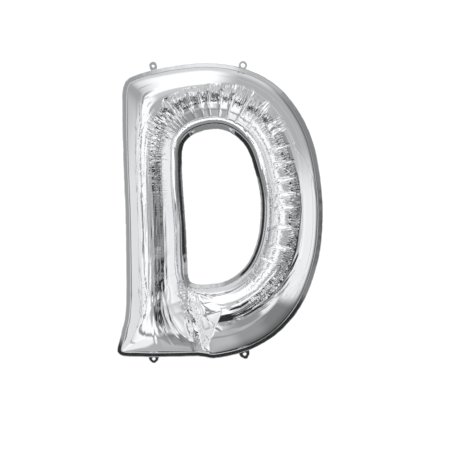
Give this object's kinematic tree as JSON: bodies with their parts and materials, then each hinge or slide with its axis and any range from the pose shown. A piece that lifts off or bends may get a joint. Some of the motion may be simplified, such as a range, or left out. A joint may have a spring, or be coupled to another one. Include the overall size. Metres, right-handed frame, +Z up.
{
  "type": "letter foil balloon",
  "caption": "Blown-up silver foil balloon in the shape of a capital D, with welded edges, hanging tabs and a filling neck.",
  "frame": {"origin": "in the counter, the hole of the letter, at the middle of the blown-up envelope, where the air's lift acts", "axes": "+Z up, along the letter's height; the letter faces -Y and reads from there; +X is its right-hand side as read"},
  "size_m": [0.5718, 0.1698, 0.8386],
  "materials": {
    "panel_film": "mirror-bright metallised film",
    "seam_film": "heat-welded, slightly duller metallised film",
    "valve_film": "thin milky polyethylene film"
  },
  "bodies": {
    "root": {"front_panel": "panel_film", "back_panel": "panel_film", "outer_seam": "seam_film", "counter_seam": "seam_film", "hanging_tab_top_left": "seam_film", "hanging_tab_top_right": "seam_film", "hanging_tab_bottom_left": "seam_film", "hanging_tab_bottom_right": "seam_film", "filling_neck": "panel_film", "valve_film": "valve_film"}
  },
  "joints": []
}
